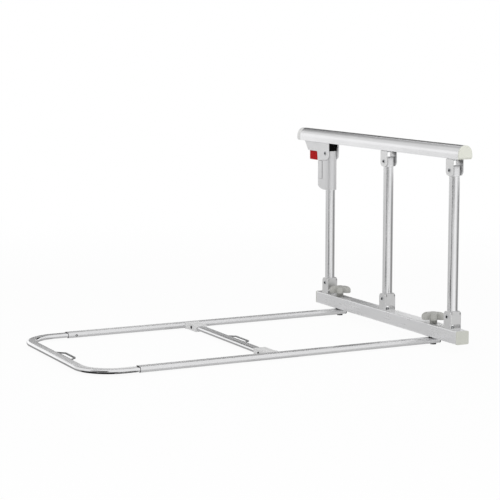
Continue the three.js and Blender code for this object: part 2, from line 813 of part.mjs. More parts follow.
function clampNut(along) {
  const points = [];
  const cornerRadius = nutAcross / 2 / Math.cos(Math.PI / nutSides);
  for (let side = 0; side < nutSides; side += 1) {
    const angle = (2 * Math.PI * side) / nutSides;
    points.push(new THREE.Vector2(cornerRadius * Math.cos(angle), along + cornerRadius * Math.sin(angle)));
  }
  const hexagon = prism("z", points, floorHeight, tubeTop - tubeHeight);
  const thread = prism("z", boreRound(boltRadius + runningGap, 0, along), floorHeight - overrun, tubeTop);
  return hexagon.subtract(thread);
}

function clampBolt(along) {
  const top = railHeight + knobBoreDepth;
  return prism("z", round(boltRadius, 0, along), floorHeight + seatGap, top);
}

// Knob with a domed head, drawn in between its lobes
function clampKnob(along) {
  const seat = railHeight + seatGap;
  const bottom = railHeight + knobHubHeight;
  const rim = bottom + knobRim;
  const top = bottom + knobHeadHeight;
  const profile = [
    ...corner(0, bottom),
    ...corner(knobRadius - knobEdge, bottom),
    ...arc(knobTopRadius, rim, knobRadius - knobTopRadius, top - rim, 0, Math.PI / 2),
    ...corner(0, top),
  ];
  const head = new THREE.LatheGeometry(profile, knobLobes * stepsPerLobe);
  head.rotateX(Math.PI / 2);
  const places = head.getAttribute("position");
  for (let index = 0; index < places.count; index += 1) {
    const across = places.getX(index);
    const up = places.getY(index);
    const hollowShare = (1 - Math.cos(knobLobes * Math.atan2(up, across))) / 2;
    const drawnIn = 1 - (knobLobeDepth / knobRadius) * hollowShare;
    places.setXY(index, across * drawnIn, up * drawnIn);
  }
  head.translate(0, along, 0);
  const boreTop = railHeight + knobBoreDepth + seatGap;
  const hub = prism("z", round(knobHubRadius, 0, along), seat, rim);
  const bore = prism("z", boreRound(boltRadius + plugGap, 0, along), seat - overrun, boreTop);
  return toSolid(head).add(hub).subtract(bore);
}

// Cross bar between the two connectors, with a hole for each connector screw
function crossbar() {
  const from = tubePlaces.near + crossbarInset + tubeWidth / 2;
  const to = tubePlaces.far - crossbarInset - tubeWidth / 2;
  const outer = prism("y", flatOval(innerWidth, innerHeight, crossbarReach, tubeMiddle), from, to);
  const inner = flatOval(innerWidth - 2 * tubeWall, innerHeight - 2 * tubeWall, crossbarReach, tubeMiddle);
  const hollow = prism("y", inner, from - overrun, to + overrun);
  const face = -crossbarReach - innerWidth / 2;
  const holes = [-1, 1].map((side) =>
    prism("x", boreRound(connectorScrewRadius + plugGap, connectorScrewPlace(side), tubeMiddle),
      face - overrun, face + tubeWall + overrun));
  return less(outer, [hollow, ...holes]);
}

function connectorScrewPlace(side) {
  const along = side < 0 ? tubePlaces.near : tubePlaces.far;
  return along - side * (connectorReach - connectorScrewInset);
}

// Connector: a sleeve on the cross bar's end. It widens in a sweep to a saddle on the round inner
// edge of a side tube.
function crossbarConnector(side) {
  const along = side < 0 ? tubePlaces.near : tubePlaces.far;
  const saddle = along - side * (tubeWidth / 2 - connectorHug);
  const mouth = along - side * connectorReach;
  const socketHalf = innerWidth / 2 + socketWall;
  const flare = connectorHalfLength - socketHalf;
  const sweepEnd = along - side * (tubeWidth / 2 + connectorSweep);
  const sweep = (direction) => {
    const centre = -crossbarReach + direction * connectorHalfLength;
    return arc(centre, sweepEnd, -direction * flare, side * connectorSweep, Math.PI / 2, 0);
  };
  const points = [
    ...corner(-crossbarReach - connectorHalfLength, saddle),
    ...sweep(-1),
    ...corner(-crossbarReach - socketHalf, mouth),
    ...corner(-crossbarReach + socketHalf, mouth),
    ...sweep(1).reverse(),
    ...corner(-crossbarReach + connectorHalfLength, saddle),
  ];
  const bottom = tubeMiddle - innerHeight / 2 - socketWall;
  const top = tubeMiddle + innerHeight / 2 + socketWall;
  const shape = prism("z", side > 0 ? points : points.reverse(), bottom, top);
  const half = connectorHalfLength + overrun;
  const ends = [-crossbarReach - half, -crossbarReach + half];
  const socketFloor = mouth + side * connectorSocketDepth;
  const tubeBore = flatOval(tubeWidth + 2 * plugGap, tubeHeight + 2 * plugGap, along, tubeMiddle);
  const barBore = flatOval(innerWidth + 2 * plugGap, innerHeight + 2 * plugGap, crossbarReach, tubeMiddle);
  const screwBore = boreRound(connectorScrewRadius + plugGap, connectorScrewPlace(side), tubeMiddle);
  const cuts = [
    prism("x", tubeBore, ...ends),
    prism("y", barBore, ...span(mouth - side * overrun, socketFloor)),
    prism("x", screwBore, ends[0], -crossbarReach),
  ];
  return less(shape, cuts);
}

// Screw through the bed side of a connector's socket into the cross bar
function connectorScrew(side) {
  const face = -crossbarReach - innerWidth / 2 - socketWall;
  const along = connectorScrewPlace(side);
  const tip = face + socketWall + 2 * tubeWall;
  const shank = prism("x", round(connectorScrewRadius, along, tubeMiddle), face, tip);
  const headOutline = round(connectorScrewHeadRadius, along, tubeMiddle);
  return shank.add(prism("x", headOutline, face - connectorScrewHeadHeight, face));
}

// Strap loop: a strip bent into a long frame, with its base along the bar that carries it
function strapLoop(barFace, base, bar, shift) {
  const back = barFace + seatGap;
  const front = back + loopProjection;
  const half = loopHeight / 2;
  const slope = (base - bar) / 2 / loopProjection;
  const ring = (inset) => {
    const radius = loopCorner - inset;
    const halfAt = (across) => base / 2 - slope * (across - back) - inset * Math.hypot(1, slope);
    const barHalf = halfAt(front - inset);
    return [
      ...corner(back + inset, shift - halfAt(back + inset)),
      ...arc(front - inset - radius, shift - barHalf + radius, radius, radius, -Math.PI / 2, 0),
      ...arc(front - inset - radius, shift + barHalf - radius, radius, radius, 0, Math.PI / 2),
      ...corner(back + inset, shift + halfAt(back + inset)),
    ];
  };
  const bottom = tubeMiddle - half;
  const top = tubeMiddle + half;
  const inside = prism("z", ring(loopThickness), bottom - overrun, top + overrun);
  return prism("z", ring(0), bottom, top).subtract(inside);
}

// The inner U: two legs, two quarter bends and a cross piece, as one bent tube
function uShape(inset, extra) {
  const width = innerWidth - 2 * inset;
  const height = innerHeight - 2 * inset;
  const legEnd = -tubeReach + innerEntryLength + extra;
  const bendEnd = -innerMiddle + innerBendRadius;
  const crossFrom = tubePlaces.near + innerBendRadius;
  const crossTo = tubePlaces.far - innerBendRadius;
  const legs = Object.values(tubePlaces).map((along) =>
    prism("x", flatOval(width, height, along, tubeMiddle), bendEnd, legEnd));
  const cross = prism("y", flatOval(width, height, innerMiddle, tubeMiddle), crossFrom, crossTo);
  const section = flatOval(width, height, innerBendRadius, tubeMiddle);
  const bends = [[crossFrom, -1], [crossTo, 1]].map(([along, side]) => {
    const ring = new THREE.LatheGeometry([...section, section[0]], bendSteps * 4);
    ring.rotateX(Math.PI / 2);
    ring.translate(bendEnd, along, 0);
    const reach = innerBendRadius + innerWidth;
    const quadrant = box(bendEnd - reach, bendEnd, ...span(along, along + side * reach));
    return toSolid(ring).intersect(prism("z", quadrant, tubeMiddle - tubeHeight, tubeMiddle + tubeHeight));
  });
  return union([...legs, cross, ...bends]);
}

const innerU = () => uShape(0, 0).subtract(uShape(tubeWall, overrun));

// The assembly
addPiece("bottom_rail", bottomRail(), anodised);
for (const [name, side] of [["near", -1], ["far", 1]]) {
  addPiece(`bottom_rail_cap_${name}`, railCap(side), capPlastic);
  addPiece(`handrail_cap_${name}`, handrailCap(side), capPlastic);
}
for (const [name, along] of Object.entries(postPlaces)) {
  const isFar = name === "far";
  addPiece(`hinge_bracket_${name}`, hingeBracket(along), sheetSteel);
  addPiece(`bracket_screw_${name}`, bracketScrew(along), screwSteel);
  addPiece(`lower_pin_${name}`, pivotPin(bracketWidth, along, lowerPivot), screwSteel);
  addPiece(`${name}_lower_plug`, postPlug(along, lowerPivot, -1, runningGap), palePlastic);
  const tubeEnd = isFar ? upperPivot - sleeveTubeStop - seatGap : postTop;
  addPiece(`${name}_post_tube`, postTube(along, postBottom, tubeEnd), anodised);
  const topWidth = isFar ? housingWidth : clevisWidth;
  addPiece(`upper_pin_${name}`, pivotPin(topWidth, along, upperPivot), screwSteel);
  if (!isFar) {
    addPiece(`${name}_upper_plug`, postPlug(along, upperPivot, 1, openPivotGap), palePlastic);
    addPiece(`top_clevis_${name}`, topClevis(along), sheetSteel);
    addPiece(`clevis_screw_${name}`, clevisScrew(along), screwSteel);
  }
}
addPiece("lock_sleeve", lockSleeve(), sleevePlastic);
addPiece("strike_block", strikeBlock(), palePlastic);
addPiece("post_top_bumper", postTopBumper(), blackPlastic);
addPiece("handrail", handrail(), anodised);
addPiece("lock_housing", lockHousing(), palePlastic);
addPiece("red_button", redButton(), redPlastic);
addPiece("button_spring", buttonSpring(), screwSteel);
for (const [name, along] of Object.entries(tubePlaces)) {
  const side = name === "near" ? -1 : 1;
  addPiece(`side_tube_${name}`, sideTube(along, side), anodised);
  addPiece(`side_tube_plug_${name}`, sideTubePlug(along), blackPlastic);
  addPiece(`set_screw_${name}`, setScrew(along, side), darkSteel);
  addPiece(`clamp_spacer_${name}`, clampSpacer(along), blackPlastic);
  addPiece(`clamp_nut_${name}`, clampNut(along), darkSteel);
  addPiece(`clamp_bolt_${name}`, clampBolt(along), screwSteel);
  addPiece(`clamp_knob_${name}`, clampKnob(along), knobPlastic);
  addPiece(`crossbar_connector_${name}`, crossbarConnector(side), palePlastic);
  addPiece(`connector_screw_${name}`, connectorScrew(side), darkSteel);
}
addPiece("crossbar", crossbar(), anodised);
addPiece("u_tube", innerU(), brightAluminium);
const crossbarFace = -crossbarReach + innerWidth / 2;
const crossbarLoop = strapLoop(crossbarFace, crossbarLoopBase, crossbarLoopBar, crossbarLoopShift);
addPiece("crossbar_strap_loop", crossbarLoop, screwSteel);
const endLoop = strapLoop(-innerReach + innerWidth, endLoopBase, endLoopBar, endLoopShift);
addPiece("u_strap_loop", endLoop, screwSteel);

// The origin lies under the middle of the part's box
const middleX = (knobRadius - innerReach) / 2;
const middleY = (handrailFarReach - handrailNearReach) / 2;
group.position.set(-middleX, -middleY, -floorHeight);

export default group;
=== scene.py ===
import json
import math
import bpy
import bmesh
from mathutils import Euler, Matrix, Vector


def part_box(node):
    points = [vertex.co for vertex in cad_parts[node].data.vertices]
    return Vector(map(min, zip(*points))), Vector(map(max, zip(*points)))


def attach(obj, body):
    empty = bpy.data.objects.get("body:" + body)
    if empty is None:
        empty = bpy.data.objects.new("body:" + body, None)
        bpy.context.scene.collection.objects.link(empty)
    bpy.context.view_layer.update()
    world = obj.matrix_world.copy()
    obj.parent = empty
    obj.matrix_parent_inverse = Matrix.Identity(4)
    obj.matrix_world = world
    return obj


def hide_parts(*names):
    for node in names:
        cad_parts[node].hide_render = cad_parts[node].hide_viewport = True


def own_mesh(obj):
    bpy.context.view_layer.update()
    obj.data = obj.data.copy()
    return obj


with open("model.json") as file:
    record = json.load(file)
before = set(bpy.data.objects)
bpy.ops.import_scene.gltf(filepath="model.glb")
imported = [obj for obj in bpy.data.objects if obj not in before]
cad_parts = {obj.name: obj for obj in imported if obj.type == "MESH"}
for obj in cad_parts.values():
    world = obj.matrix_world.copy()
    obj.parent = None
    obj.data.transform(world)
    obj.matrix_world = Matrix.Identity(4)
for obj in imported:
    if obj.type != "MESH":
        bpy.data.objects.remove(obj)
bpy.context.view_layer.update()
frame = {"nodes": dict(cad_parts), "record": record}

mm = 0.001
scene = bpy.context.scene
scene.view_settings.view_transform = "Standard"

slotOf = {part["node"]: part["material_slot"] for part in frame["record"]["subparts"]}
bodyOf = {node: body for body, nodes in frame["record"]["behaviour"]["bodies"].items() for node in nodes}


def tone(red, green, blue, alpha=1.0):
    # a colour as read from a picture, from 0 to 255, made linear
    def linear(level):
        share = level / 255
        return share / 12.92 if share <= 0.04045 else ((share + 0.055) / 1.055) ** 2.4
    return (linear(red), linear(green), linear(blue), alpha)


def evenly(amount):
    return (amount, amount, amount)


def middleOf(node):
    low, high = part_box(node)
    return (low + high) / 2


# Node trees: a wire is a socket that can be added, multiplied and so on

class Wire:
    def __init__(self, sheet, socket):
        self.sheet = sheet
        self.socket = socket

    def __add__(self, other):
        return self.sheet.sum("ADD", self, other)

    def __radd__(self, other):
        return self.sheet.sum("ADD", other, self)

    def __sub__(self, other):
        return self.sheet.sum("SUBTRACT", self, other)

    def __rsub__(self, other):
        return self.sheet.sum("SUBTRACT", other, self)

    def __mul__(self, other):
        return self.sheet.sum("MULTIPLY", self, other)

    def __rmul__(self, other):
        return self.sheet.sum("MULTIPLY", other, self)

    def __truediv__(self, other):
        return self.sheet.sum("DIVIDE", self, other)


class NodeSheet:
    def __init__(self, tree):
        self.tree = tree
        tree.nodes.clear()

    def node(self, kind, settings=None, values=None, out=0):
        made = self.tree.nodes.new(kind)
        for key, value in (settings or {}).items():
            if key == "stops":
                ramp = made.color_ramp.elements
                for stop, (place, level) in zip(ramp, value):
                    stop.position = place
                    stop.color = (level, level, level, 1)
            else:
                setattr(made, key, value)
        for key, value in (values or {}).items():
            if isinstance(value, Wire):
                self.tree.links.new(value.socket, made.inputs[key])
            else:
                made.inputs[key].default_value = value
        return Wire(self, made.outputs[out]) if made.outputs else None

    def sum(self, operation, first, second):
        return self.node("ShaderNodeMath", {"operation": operation}, {0: first, 1: second})

    def blend(self, share, first, second):
        return self.node("ShaderNodeMix", {"data_type": "RGBA"}, {0: share, 6: first, 7: second}, out=2)

    def noise(self, place, stretch, detail=2.0, seed=0.0):
        # stretch is how many spots there are in a metre, along each axis
        moved = self.node("ShaderNodeMapping", None, {
            "Vector": place, "Scale": stretch, "Location": evenly(seed),
        })
        return self.node("ShaderNodeTexNoise", None, {"Vector": moved, "Scale": 1.0, "Detail": detail})

    def ramp(self, value, span):
        # 0 below the span, 1 above it
        return self.node("ShaderNodeValToRGB", {"stops": zip(span, (0, 1))}, {"Fac": value})


# Materials

# a metal's colour, the duller colour of its clouds, its roughness and its metallic share
metals = {
    "anodised": ((222, 222, 223), (213, 213, 214), 0.24, 0.9),
    "anodised_rail": ((226, 226, 227), (222, 222, 223), 0.28, 0.48),
    "anodised_frame": ((224, 224, 225), (215, 215, 216), 0.26, 0.7),
    "anodised_post": ((228, 228, 229), (221, 221, 222), 0.15, 0.95),
    "anodised_bar": ((226, 226, 227), (216, 216, 217), 0.17, 1.0),
    "bright_aluminium": ((228, 228, 229), (218, 218, 219), 0.14, 1.0),
    "bracket_sheet": ((218, 218, 218), (208, 208, 208), 0.3, 0.72),
    "bright_steel": ((188, 190, 192), (150, 152, 155), 0.28, 0.95),
    "dark_steel": ((40, 40, 42), (26, 26, 28), 0.42, 0.6),
    "bright_steel_loop": ((150, 151, 152), (120, 121, 123), 0.3, 0.8),
    "sleeve_plastic": ((216, 216, 217), (209, 209, 210), 0.3, 0.5),  # painted silver
}
# the dark colour, its share and the rougher finish for faces in hollows, seams and tube mouths are painted
# shade
metalDetail = {
    "clouds": 14, "marks": (70, 340, 210), "rubs": 160,  # spots in a metre
    "cloudSpan": (0.35, 0.65), "markSpan": (0.66, 0.8), "rubSpan": (0.42, 0.6),
    "grainShare": 0.15, "cloudShare": 0.35, "rubShare": 0.5, "markShare": 0.03, "holeShare": 0.96,
    "rubbed": (232, 233, 235), "marked": (240, 240, 242), "hole": (16, 16, 17),
    "smoother": 0.04, "grainRough": 0.03, "cloudRough": 0.05,
    "rubSmooth": 0.06, "markRough": 0.03, "holeRough": 0.4,
    "bump": 0.008, "bumpDepth": 0.0001, "markDepth": 0.5,
}
# a plastic's colour, the duller colour of its clouds, its roughness, its coat and its shine
plastics = {
    "pale_plastic": ((230, 230, 231), (222, 222, 223), 0.46, 0.12, 0.4),
    "pale_plastic_frame": ((232, 232, 232), (224, 224, 224), 0.42, 0.1, 0.4),
    "knob_plastic": ((180, 180, 176), (168, 168, 163), 0.42, 0.1, 0.4),
    # the cap plastic in three copies: a darker one for the bottom rail's caps and lighter ones for the
    # handrail's caps, as painted shade and painted light
    "cap_plastic": ((208, 209, 201), (201, 202, 194), 0.5, 0.08, 0.3),
    "cap_plastic_far": ((230, 230, 229), (222, 222, 221), 0.45, 0.1, 0.4),
    "cap_plastic_top": ((230, 231, 221), (224, 225, 215), 0.5, 0.08, 0.3),
    "red_plastic": ((188, 2, 9), (170, 1, 7), 0.4, 0.0, 0.05),
    "black_plastic": ((14, 14, 14), (9, 9, 9), 0.5, 0.0, 0.06),
    "black_rubber": ((10, 10, 10), (7, 7, 7), 0.75, 0.0, 0.05),
}
# the dark colour and its share for faces in hollows, seams and tube mouths are painted shade
plasticDetail = {
    "texture": 1100, "clouds": 22, "flow": (60, 60, 9), "scuffs": (420, 60, 260), "rubs": 200,
    "scuffSpan": (0.68, 0.74), "rubSpan": (0.4, 0.62), "patchSpan": (0.38, 0.62),
    "cloudPart": 0.6, "flowPart": 0.4, "patchShare": 0.5, "textureShare": 0.2,
    "rubShare": 0.35, "scuffShare": 0.15, "holeShare": 0.95, "hole": (20, 20, 21), "lighter": 10,
    "smoother": 0.04, "textureRough": 0.08, "cloudRough": 0.05, "rubSmooth": 0.1, "scuffRough": 0.06,
    "coatRough": 0.3, "bump": 0.08, "bumpDepth": 0.00012, "scuffDepth": 0.3,
}
grainStretch = {  # spots in a metre along X, Y and Z, by the way that a bar was brushed
    "X": (4, 1500, 1500), "Y": (1500, 4, 1500), "Z": (1500, 1500, 4), "even": (900, 900, 900),
}
painted = {}


def faceMask(sheet, attribute):
    return sheet.node("ShaderNodeAttribute", {"attribute_name": attribute}, out=2)


def metalFinish(name, grain):
    colour, dull, roughness, metallic = metals[name]
    detail = metalDetail
    sheet = NodeSheet(painted[name, grain].node_tree)
    place = sheet.node("ShaderNodeTexCoord", out=3)
    lines = sheet.noise(place, grainStretch[grain], 3.0)
    clouds = sheet.noise(place, evenly(detail["clouds"]), 3.0, 5.3)
    marks = sheet.ramp(sheet.noise(place, detail["marks"], 1.0, 9.1), detail["markSpan"])
    paintedShade = faceMask(sheet, "inside")
    wear = faceMask(sheet, "edgeWear")
    rubbed = wear * sheet.ramp(sheet.noise(place, evenly(detail["rubs"]), 2.0, 2.7), detail["rubSpan"])
    patch = sheet.ramp(clouds, detail["cloudSpan"])
    dullness = patch * detail["cloudShare"] + lines * detail["grainShare"]
    paint = sheet.blend(dullness, tone(*colour), tone(*dull))
    paint = sheet.blend(rubbed * detail["rubShare"], paint, tone(*detail["rubbed"]))
    paint = sheet.blend(marks * detail["markShare"], paint, tone(*detail["marked"]))
    # painted shade: faces in hollows, seams and tube mouths go dark, rougher and not metallic
    paint = sheet.blend(paintedShade * detail["holeShare"], paint, tone(*detail["hole"]))
    rough = roughness - detail["smoother"] + lines * detail["grainRough"] + clouds * detail["cloudRough"]
    rough = rough - rubbed * detail["rubSmooth"] + marks * detail["markRough"] + paintedShade * detail["holeRough"]
    bump = sheet.node("ShaderNodeBump", None, {
        "Strength": detail["bump"], "Distance": detail["bumpDepth"],
        "Height": lines - marks * detail["markDepth"],
    })
    sheet.node("ShaderNodeOutputMaterial", None, {"Surface": sheet.node("ShaderNodeBsdfPrincipled", None, {
        "Base Color": paint, "Roughness": rough, "Metallic": (1 - paintedShade) * metallic, "Normal": bump,
    })})


def plasticFinish(name, grain):
    colour, dull, roughness, coat, shine = plastics[name]
    detail = plasticDetail
    sheet = NodeSheet(painted[name, grain].node_tree)
    place = sheet.node("ShaderNodeTexCoord", out=3)
    texture = sheet.noise(place, evenly(detail["texture"]), 2.0)
    clouds = sheet.noise(place, evenly(detail["clouds"]), 3.0, 3.1)
    flow = sheet.noise(place, detail["flow"], 2.0, 7.7)
    scuffs = sheet.ramp(sheet.noise(place, detail["scuffs"], 1.0, 1.9), detail["scuffSpan"])
    paintedShade = faceMask(sheet, "inside")
    wear = faceMask(sheet, "edgeWear")
    rubbed = wear * sheet.ramp(sheet.noise(place, evenly(detail["rubs"]), 2.0, 4.4), detail["rubSpan"])
    patch = sheet.ramp(clouds * detail["cloudPart"] + flow * detail["flowPart"], detail["patchSpan"])
    light = [min(255, level + detail["lighter"]) for level in colour]
    dullness = patch * detail["patchShare"] + texture * detail["textureShare"]
    paint = sheet.blend(dullness, tone(*colour), tone(*dull))
    paint = sheet.blend(rubbed * detail["rubShare"] + scuffs * detail["scuffShare"], paint, tone(*light))
    # painted shade: faces in hollows, seams and tube mouths go dark
    paint = sheet.blend(paintedShade * detail["holeShare"], paint, tone(*detail["hole"]))
    rough = roughness - detail["smoother"] + texture * detail["textureRough"] + clouds * detail["cloudRough"]
    rough = rough - rubbed * detail["rubSmooth"] + scuffs * detail["scuffRough"]
    bump = sheet.node("ShaderNodeBump", None, {
        "Strength": detail["bump"], "Distance": detail["bumpDepth"],
        "Height": texture - scuffs * detail["scuffDepth"],
    })
    sheet.node("ShaderNodeOutputMaterial", None, {"Surface": sheet.node("ShaderNodeBsdfPrincipled", None, {
        "Base Color": paint, "Roughness": rough, "Coat Weight": coat, "Coat Roughness": detail["coatRough"],
        "Normal": bump, "Specular IOR Level": shine,
    })})


def finishOf(name, grain="even"):
    if (name, grain) not in painted:
        material = bpy.data.materials.new(f"{name}_{grain}")
        material.use_nodes = True
        painted[name, grain] = material
        (metalFinish if name in metals else plasticFinish)(name, grain)
    return painted[name, grain]


# Shaping

sharpAngle = math.radians(35)
flatAngle = math.radians(0.5)  # faces that turn less than this are one
weldDistance = 0.004 * mm
roundingError = 0.02 * mm


def settle(mesh):
    # smooth faces with true corners
    mesh.polygons.foreach_set("use_smooth", [True] * len(mesh.polygons))
    mesh.set_sharp_from_angle(angle=sharpAngle)


def piece(name, shell, nodes, edge, grain="even", segments=2, look=None, isShaded=None):
    # makes the finished piece from a closed shell: soft edges, wear on them, body, and the material of its
    # slot;
    # the faces that the given test picks lie in a hollow, a seam or a tube's mouth and are painted dark as
    # shade
    bmesh.ops.remove_doubles(shell, verts=shell.verts, dist=weldDistance)
    bmesh.ops.recalc_face_normals(shell, faces=shell.faces)
    mesh = bpy.data.meshes.new(name)
    shell.to_mesh(mesh)
    shell.free()
    settle(mesh)
    slot = slotOf[nodes[0]]
    made = bpy.data.objects.new(name, mesh)
    scene.collection.objects.link(made)
    for _ in range(2):  # the second only marks the worn edges, until the bevel is real
        mesh.materials.append(finishOf(look or slot, grain))
    if edge:
        bevel = made.modifiers.new("edges", "BEVEL")
        bevel.width = edge * mm
        bevel.segments = segments
        bevel.limit_method = "ANGLE"
        bevel.angle_limit = sharpAngle
        bevel.material = 1
        bevel.use_clamp_overlap = True
    made.modifiers.new("normals", "WEIGHTED_NORMAL").keep_sharp = True
    whole = bpy.data.meshes.new_from_object(made.evaluated_get(bpy.context.evaluated_depsgraph_get()))
    made.modifiers.clear()
    made.data = whole
    bpy.data.meshes.remove(mesh)
    whole.name = name
    wear = whole.attributes.new("edgeWear", "FLOAT", "FACE")
    worn = [float(face.material_index == 1) for face in whole.polygons]
    wear.data.foreach_set("value", worn)
    # marks the faces in hollows, seams and tube mouths that get painted shade
    if isShaded:
        deep = whole.attributes.new("inside", "FLOAT", "FACE")
        deep.data.foreach_set("value", [float(isShaded(face.center)) for face in whole.polygons])
    whole.polygons.foreach_set("material_index", [0] * len(worn))
    while len(whole.materials) > 1:
        whole.materials.pop(index=1)
    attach(made, bodyOf[nodes[0]])
    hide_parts(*nodes)
    return made


def loft(rings, loop=False):
    # skin through rings of points; a loop joins the last ring to the first, otherwise both ends are closed
    shell = bmesh.new()
    rows = [[shell.verts.new(point) for point in ring] for ring in rings]
    count = len(rows[0])
    pairs = list(zip(rows, rows[1:])) + ([(rows[-1], rows[0])] if loop else [])
    for lower, upper in pairs:
        for step in range(count):
            after = (step + 1) % count
            shell.faces.new((lower[step], lower[after], upper[after], upper[step]))
    if not loop:
        shell.faces.new(rows[0])
        shell.faces.new(rows[-1])
    return shell


def roundOutline(width, height, radius, steps):
    # a rectangle with round corners; a flat oval or a circle where the radius is half the height
    points = []
    for corner, (side, up) in enumerate(((1, 1), (-1, 1), (-1, -1), (1, -1))):
        for step in range(steps + 1):
            angle = math.pi / 2 * (corner + step / steps)
            across = side * (width / 2 - radius) + radius * math.cos(angle)
            points.append((across, up * (height / 2 - radius) + radius * math.sin(angle)))
    return points


def dOutline(size, inset):
    # flat underside, short straight sides and a round top
    steps = size["steps"]
    half = size["width"] / 2 - inset
    top = size["height"] - size["side"] - inset
    points = [(-half, inset), (half, inset)]
    for step in range(steps + 1):
        angle = math.pi * step / steps
        points.append((half * math.cos(angle), size["side"] + top * math.sin(angle)))
    return points


def ringAt(outline, axis, centre, along):
    across, up = centre
    places = {
        "X": lambda u, v: (along, across + u * mm, up + v * mm),
        "Y": lambda u, v: (across + u * mm, along, up + v * mm),
        "Z": lambda u, v: (across + u * mm, up + v * mm, along),
    }
    return [Vector(places[axis](u, v)) for u, v in outline]


def tube(outer, inner, axis, centre, start, end):
    rings = [ringAt(outer, axis, centre, start), ringAt(outer, axis, centre, end)]
    rings += [ringAt(inner, axis, centre, end), ringAt(inner, axis, centre, start)]
    return loft(rings, loop=True)


def turned(profile, steps):
    # a profile of (radius, height) pairs in millimetres, from axis to axis, turned round Z
    shell = bmesh.new()
    ends = [shell.verts.new((0, 0, height * mm)) for height in (profile[0][1], profile[-1][1])]
    rows = []
    angles = [2 * math.pi * step / steps for step in range(steps)]
    for radius, height in profile[1:-1]:
        wide = radius * mm
        ring = [(wide * math.cos(angle), wide * math.sin(angle), height * mm) for angle in angles]
        rows.append([shell.verts.new(spot) for spot in ring])
    for step in range(steps):
        after = (step + 1) % steps
        shell.faces.new((ends[0], rows[0][after], rows[0][step]))
        shell.faces.new((ends[1], rows[-1][step], rows[-1][after]))
        for lower, upper in zip(rows, rows[1:]):
            shell.faces.new((lower[step], lower[after], upper[after], upper[step]))
    return shell


def cadShell(node):
    shell = bmesh.new()
    shell.from_mesh(frame["nodes"][node].data)
    bmesh.ops.remove_doubles(shell, verts=shell.verts, dist=weldDistance)
    bmesh.ops.dissolve_limit(shell, angle_limit=flatAngle, verts=shell.verts, edges=shell.edges)
    return shell


def roundAlong(shell, chosen, width, segments):
    # rounds the edges that the test picks by their two ends
    edges = [edge for edge in shell.edges if chosen(edge.verts[0].co, edge.verts[1].co)]
    bmesh.ops.bevel(shell, geom=edges, offset=width * mm, segments=segments, profile=0.5,
                    affect="EDGES", clamp_overlap=True)


# Geometry node trees

def nodeTree(name, sockets):
    group = bpy.data.node_groups.new(name, "GeometryNodeTree")
    group.interface.new_socket("Geometry", in_out="OUTPUT", socket_type="NodeSocketGeometry")
    group.interface.new_socket("Geometry", in_out="INPUT", socket_type="NodeSocketGeometry")
    for label, kind in sockets.items():
        group.interface.new_socket(label, in_out="INPUT", socket_type="NodeSocket" + kind)
    sheet = NodeSheet(group)
    start = group.nodes.new("NodeGroupInput")
    return sheet, {socket.name: Wire(sheet, socket) for socket in start.outputs if socket.name}


def closeTree(sheet, shape, finish):
    real = sheet.node("GeometryNodeRealizeInstances", None, {"Geometry": shape})
    done = sheet.node("GeometryNodeSetMaterial", None, {"Geometry": real, "Material": finish})
    sheet.node("NodeGroupOutput", None, {"Geometry": done})
    return sheet.tree


def runTree(tree, shell, values):
    # runs a tree on a shell and gives the plain shell that comes out
    mesh = bpy.data.meshes.new("start")
    shell.to_mesh(mesh)
    shell.free()
    holder = bpy.data.objects.new("start", mesh)
    scene.collection.objects.link(holder)
    modifier = holder.modifiers.new("tree", "NODES")
    modifier.node_group = tree
    for item in tree.interface.items_tree:
        if item.in_out == "INPUT" and item.name in values:
            modifier[item.identifier] = values[item.name]
    whole = bpy.data.meshes.new_from_object(holder.evaluated_get(bpy.context.evaluated_depsgraph_get()))
    holder.modifiers.clear()
    bpy.data.objects.remove(holder)
    made = bmesh.new()
    made.from_mesh(whole)
    bpy.data.meshes.remove(mesh)
    bpy.data.meshes.remove(whole)
    return made


def rowTree():
    # the same piece again and again, at equal steps along a line
    sheet, given = nodeTree("row", {
        "Count": "Int", "First": "Vector", "Step": "Vector", "Turn": "Vector", "Finish": "Material",
    })
    line = sheet.node("GeometryNodeMeshLine", {"mode": "OFFSET"}, {
        "Count": given["Count"], "Start Location": given["First"], "Offset": given["Step"],
    })
    placed = sheet.node("GeometryNodeInstanceOnPoints", None, {
        "Points": line, "Instance": given["Geometry"], "Rotation": given["Turn"],
    })
    return closeTree(sheet, placed, given["Finish"])


def knobTree():
    # draws a turned head in between its lobes, then moves it to its bolt
    sheet, given = nodeTree("starKnob", {
        "Lobes": "Float", "Depth": "Float", "Hollow share": "Float",
        "Hub radius": "Float", "Rim radius": "Float", "Place": "Vector", "Finish": "Material",
    })
    place = sheet.node("GeometryNodeInputPosition")
    split = sheet.tree.nodes.new("ShaderNodeSeparateXYZ")
    sheet.tree.links.new(place.socket, split.inputs[0])
    across, along = (Wire(sheet, split.outputs[index]) for index in (0, 1))
    angle = sheet.sum("ARCTAN2", along, across)
    radius = sheet.node("ShaderNodeMath", {"operation": "SQRT"}, {0: across * across + along * along})
    share = sheet.node("ShaderNodeMapRange", {"interpolation_type": "SMOOTHSTEP"}, {
        "Value": radius, "From Min": given["Hub radius"], "From Max": given["Rim radius"],
    })
    wave = sheet.node("ShaderNodeMath", {"operation": "COSINE"}, {0: angle * given["Lobes"]})
    between = sheet.sum("POWER", 0.5 - wave * 0.5, given["Hollow share"])
    drawn = 1 - share * given["Depth"] / radius * between
    flat = sheet.node("ShaderNodeCombineXYZ", None, {0: drawn, 1: drawn, 2: 1.0})
    moved = sheet.node("ShaderNodeVectorMath", {"operation": "MULTIPLY_ADD"}, {
        0: place, 1: flat, 2: given["Place"],
    })
    shaped = sheet.node("GeometryNodeSetPosition", None, {"Geometry": given["Geometry"], "Position": moved})
    return closeTree(sheet, shaped, given["Finish"])


